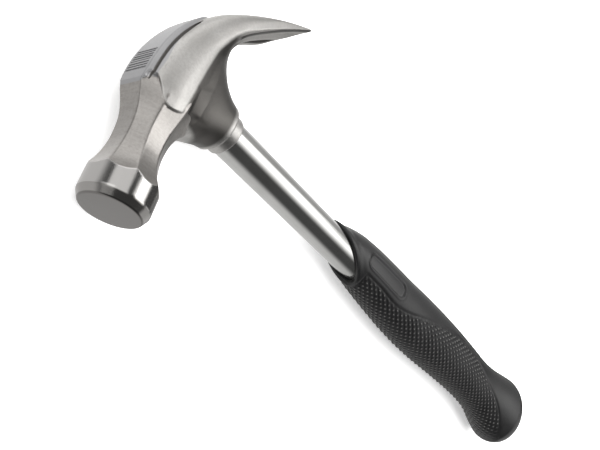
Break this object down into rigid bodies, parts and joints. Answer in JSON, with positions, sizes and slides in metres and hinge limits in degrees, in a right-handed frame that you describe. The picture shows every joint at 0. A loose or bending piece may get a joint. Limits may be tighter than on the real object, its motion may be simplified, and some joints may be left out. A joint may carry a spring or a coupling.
{
  "type": "claw hammer",
  "caption": "Curved-claw hammer with a forged steel head, a tubular steel shaft and a moulded rubber grip, lying on its side.",
  "frame": {"origin": "middle of the bounding box, on the surface that the hammer lies on", "axes": "+X along the shaft from the butt to the crown, +Y towards the striking face, +Z out of the upper cheek"},
  "size_m": [0.3315, 0.116, 0.0324],
  "materials": {
    "forged_steel": "ground and brushed forged steel, mirror-polished bell",
    "chromed_tube": "satin chrome plating",
    "plug_wood": "plain hardwood dowel",
    "adhesive": "cured amber epoxy",
    "cap_plastic": "moulded black plastic",
    "grip_rubber": "moulded black rubber, diamond knurl and smooth bands"
  },
  "bodies": {
    "root": {"hammer_head": "forged_steel", "shaft_tube": "chromed_tube", "shock_plug": "plug_wood", "epoxy_bond": "adhesive", "shaft_end_plug": "cap_plastic", "grip": "grip_rubber"}
  },
  "joints": []
}
